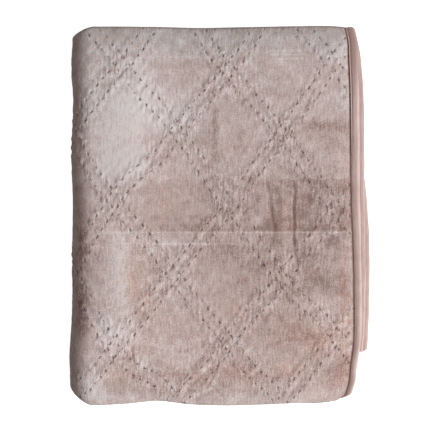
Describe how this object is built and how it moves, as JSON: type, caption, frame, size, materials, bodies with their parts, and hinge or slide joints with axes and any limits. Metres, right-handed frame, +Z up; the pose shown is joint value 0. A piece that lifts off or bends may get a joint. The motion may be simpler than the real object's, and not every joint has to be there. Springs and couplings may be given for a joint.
{
  "type": "folded velvet bedspread",
  "caption": "Quilted velvet bedspread with taped edges, folded into a flat stack that rests on a bed, shelf or table.",
  "frame": {"origin": "on the floor under the middle of the folded stack", "axes": "+X towards the taped side edges and away from the big fold, +Y towards the end where the two outer layers join, +Z up"},
  "size_m": [0.3976, 0.5054, 0.0612],
  "materials": {
    "velvet": "crushed cotton velvet, hand quilted, with pressed marks in the pile",
    "binding": "smooth woven cotton tape, matt"
  },
  "bodies": {
    "root": {"quilt": "velvet", "side_binding_top": "binding", "side_binding_lower": "binding", "foot_binding": "binding", "head_binding": "binding"}
  },
  "joints": []
}
